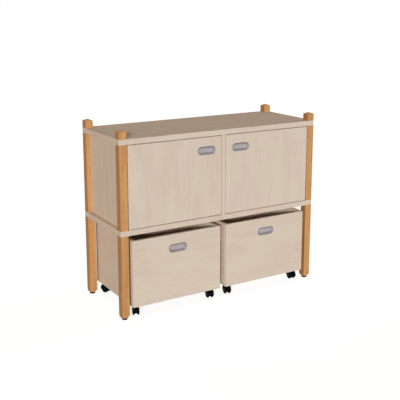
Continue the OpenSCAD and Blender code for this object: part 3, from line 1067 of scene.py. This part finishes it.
def hood():
    """The mudguard: its cross-section, with eased corners, swung over the wheels."""
    dip = math.asin(guard_drop / guard_outside)
    axle = Vector((0, -trail, wheel_radius))
    bpy.ops.object.select_all(action="DESELECT")
    middle = (guard_inside + guard_outside) / 2
    place = axle + Vector((0, middle * math.cos(dip), -middle * math.sin(dip)))
    bpy.ops.mesh.primitive_plane_add(size=1, location=place, rotation=(-dip, 0, 0))
    guard = bpy.context.object
    guard.scale = (2 * caster_half_width, guard_outside - guard_inside, 1)
    bpy.ops.object.transform_apply(location=True, rotation=True, scale=True)
    bpy.ops.object.mode_set(mode="EDIT")
    bpy.ops.mesh.select_mode(type="VERT")
    bpy.ops.mesh.select_all(action="SELECT")
    bpy.ops.mesh.bevel(offset=guard_easing, segments=3, affect="VERTICES")
    bpy.ops.mesh.spin(steps=40, angle=math.pi + 2 * dip, center=axle, axis=(-1, 0, 0))
    bpy.ops.mesh.select_all(action="SELECT")
    bpy.ops.mesh.normals_make_consistent(inside=False)
    bpy.ops.object.mode_set(mode="OBJECT")
    return guard


def web():
    """The plate between the wheels, cut off level below the axle."""
    lie = Matrix.Translation((-web_half, -trail, wheel_radius)) @ Matrix.Rotation(math.pi / 2, 4, "Y")
    reach = guard_inside + web_overlap
    outline = [(0, 0), (reach, 0), (reach, 2 * web_half), (0, 2 * web_half)]
    plate = turned("web", outline, steps=64, turn=lie)
    pick(plate, "FACE", everything)
    base = Vector((0, 0, wheel_radius - guard_drop))
    bpy.ops.mesh.bisect(plane_co=base, plane_no=(0, 0, 1), use_fill=True, clear_inner=True)
    bpy.ops.object.mode_set(mode="OBJECT")
    round_edges(plate, level_at(upright, base.z), web_easing, steps=2)
    return plate


def neck(top):
    """The neck on the swivel pin, narrow between the wheels and with an eased collar above them."""
    flare_low, flare_high = neck_flare
    outline = [(0, neck_foot), (neck_waist, neck_foot), (neck_waist, flare_low), (neck_radius, flare_high)]
    outline += [(neck_radius + out, top - down) for out, down in collar_steps]
    outline += [(0, top)]
    return turned("neck", outline, steps=40)


def caster_housing():
    """Hood, web and neck as one moulding, with its swivel axis over the origin."""
    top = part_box("left_box_bottom")[0].z - plate_thickness - neck_clearance
    housing = joined("caster_housing", [hood(), web(), neck(top)])
    smooth(housing, angle=40)
    housing.data.materials.append(nylon_black)
    return housing


def set_casters(master, part, body_kind):
    """Copies one caster part to every corner of both boxes, turned as each caster stands."""
    for box in ("left_box", "right_box"):
        for corner, swivel in swivels(box).items():
            place = Matrix.Translation(swivel["spot"]) @ Matrix.Rotation(swivel["turn"], 4, "Z")
            piece = copied(master, f"{box}_{body_kind}_part_{corner}", place)
            give(piece, f"{box}_{body_kind}_{corner}", f"{box}_{part}_{corner}")
    bpy.data.objects.remove(master)


set_casters(caster_housing(), "caster", "swivel")


# Caster wheels
# Twin wheels of black nylon with a rounded tread and a sunk ring round the hub.
# Both wheels of a caster turn on one axle of blackened steel, on either side of the web.
wheel_thickness = 0.009
wheel_gap = 0.0005
tread_rounding = 0.0022
inner_face_edge = 0.0006
outer_face_steps = [  # radius, and how far the face is sunk there
    (0.0156, 0),
    (0.0150, 0.0003),
    (0.0138, 0.0018),
    (0.0098, 0.0018),
    (0.0090, 0.0014),
    (0.0088, 0.0003),
    (0.0084, 0),
    (0.0046, 0),
    (0.0042, 0.0006),
    (0, 0.0006),
]
axle_radius = 0.0025
axle_chamfer = 0.0004
axle_sunk = 0.0002
blackened_steel = steel("blackened_steel", tint(44, 43, 44), tint(62, 61, 62))


def wheel(side):
    """One wheel, its outer face towards +X or -X."""
    edge = wheel_radius - tread_rounding
    outer = wheel_thickness - tread_rounding
    outline = [(0, 0), (edge - inner_face_edge, 0)]
    outline += arc(edge, tread_rounding, tread_rounding, first=-75, last=0, steps=4)
    outline += arc(edge, outer, tread_rounding, first=0, last=75, steps=4)
    outline += [(radius, wheel_thickness - sunk) for radius, sunk in outer_face_steps]
    lie = Matrix.Translation((side * (web_half + wheel_gap), -trail, wheel_radius))
    lie = lie @ Matrix.Rotation(side * math.pi / 2, 4, "Y")
    return turned("wheel", outline, steps=56, turn=lie)


def caster_wheels():
    """Both wheels with their axle."""
    wheels = joined("wheels", [wheel(-1), wheel(1)])
    smooth(wheels, angle=40)
    wheels.data.materials.append(nylon_black)
    reach = caster_half_width - axle_sunk
    end = axle_radius - axle_chamfer
    outline = [(0, -reach), (end, -reach), (axle_radius, -reach + axle_chamfer)]
    outline += [(axle_radius, reach - axle_chamfer), (end, reach), (0, reach)]
    lie = Matrix.Translation((0, -trail, wheel_radius)) @ Matrix.Rotation(math.pi / 2, 4, "Y")
    axle = turned("axle", outline, steps=24, turn=lie)
    smooth(axle, angle=40)
    axle.data.materials.append(blackened_steel)
    return joined("caster_wheels", [wheels, axle])


set_casters(caster_wheels(), "wheels", "wheel")
